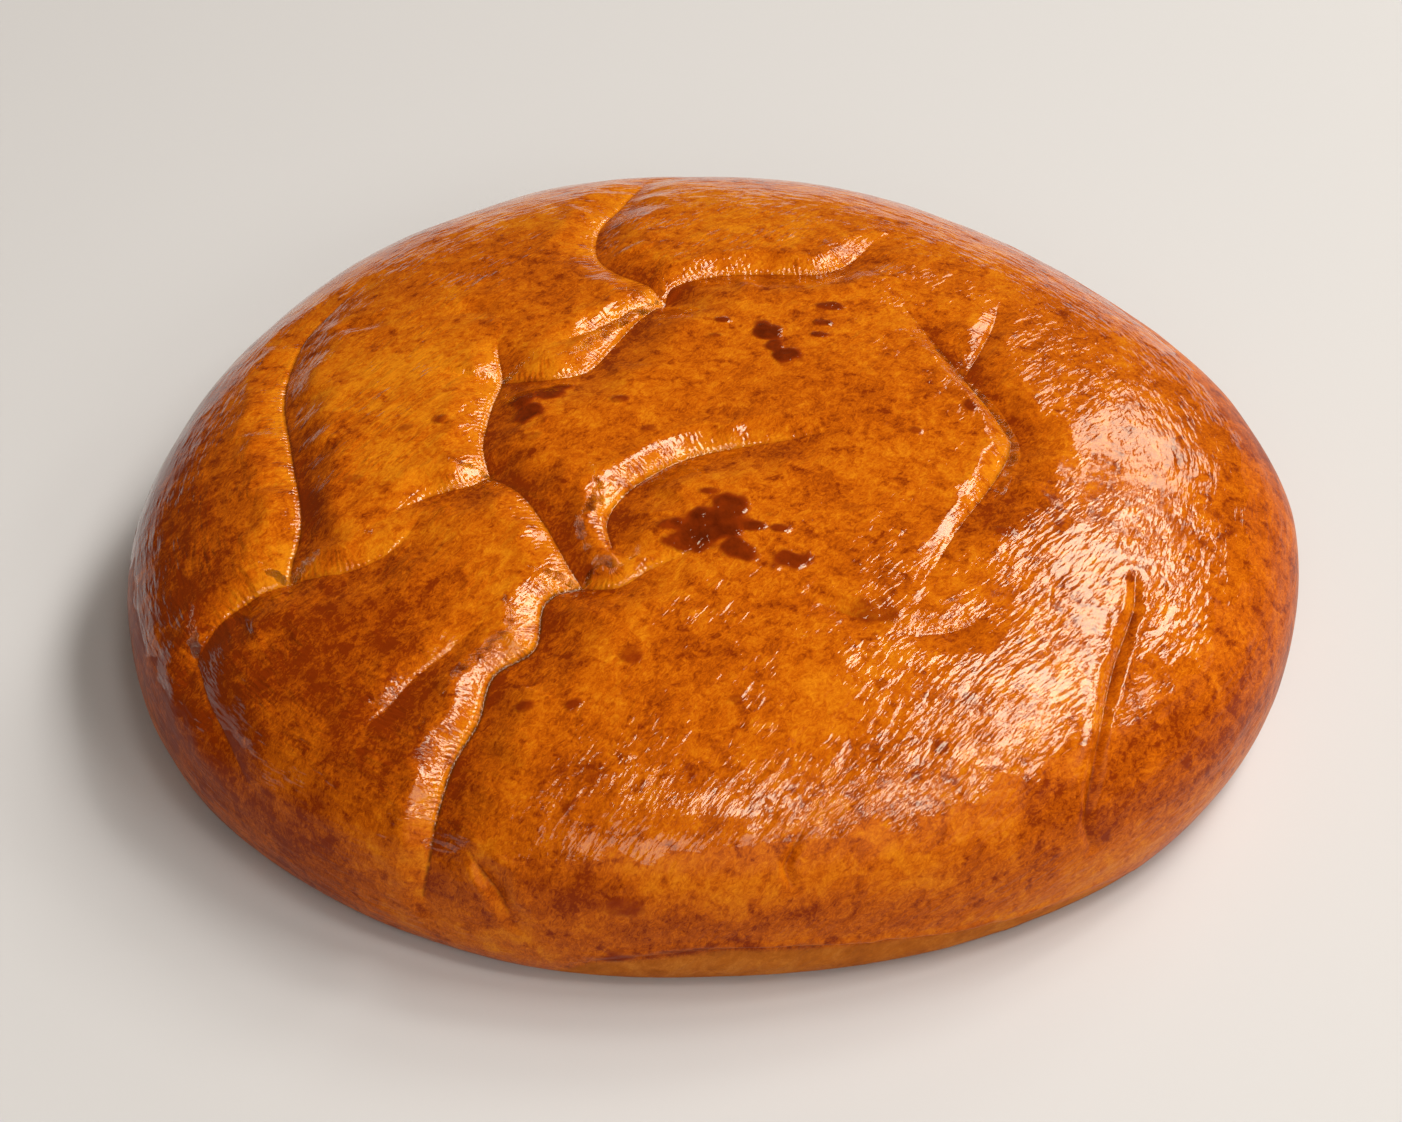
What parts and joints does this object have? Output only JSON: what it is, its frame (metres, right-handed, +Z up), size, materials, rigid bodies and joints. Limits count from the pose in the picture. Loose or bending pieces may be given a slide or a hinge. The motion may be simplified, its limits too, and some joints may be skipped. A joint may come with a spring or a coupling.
{
  "type": "sheermal",
  "caption": "Large round domed sheermal loaf with a flat base and a glazed golden-brown crust pressed into soft folds.",
  "frame": {"origin": "centre of the loaf's box, on the flat base that it rests on", "axes": "+Z up through the dome, +X to the right and -Y to the front as the loaf is seen on its dish"},
  "size_m": [0.254, 0.2438, 0.0603],
  "materials": {
    "glazed_crust": "baked egg-washed crust, amber brown under a clear gloss, mottled darker"
  },
  "bodies": {
    "root": {"sheermal": "glazed_crust"}
  },
  "joints": []
}
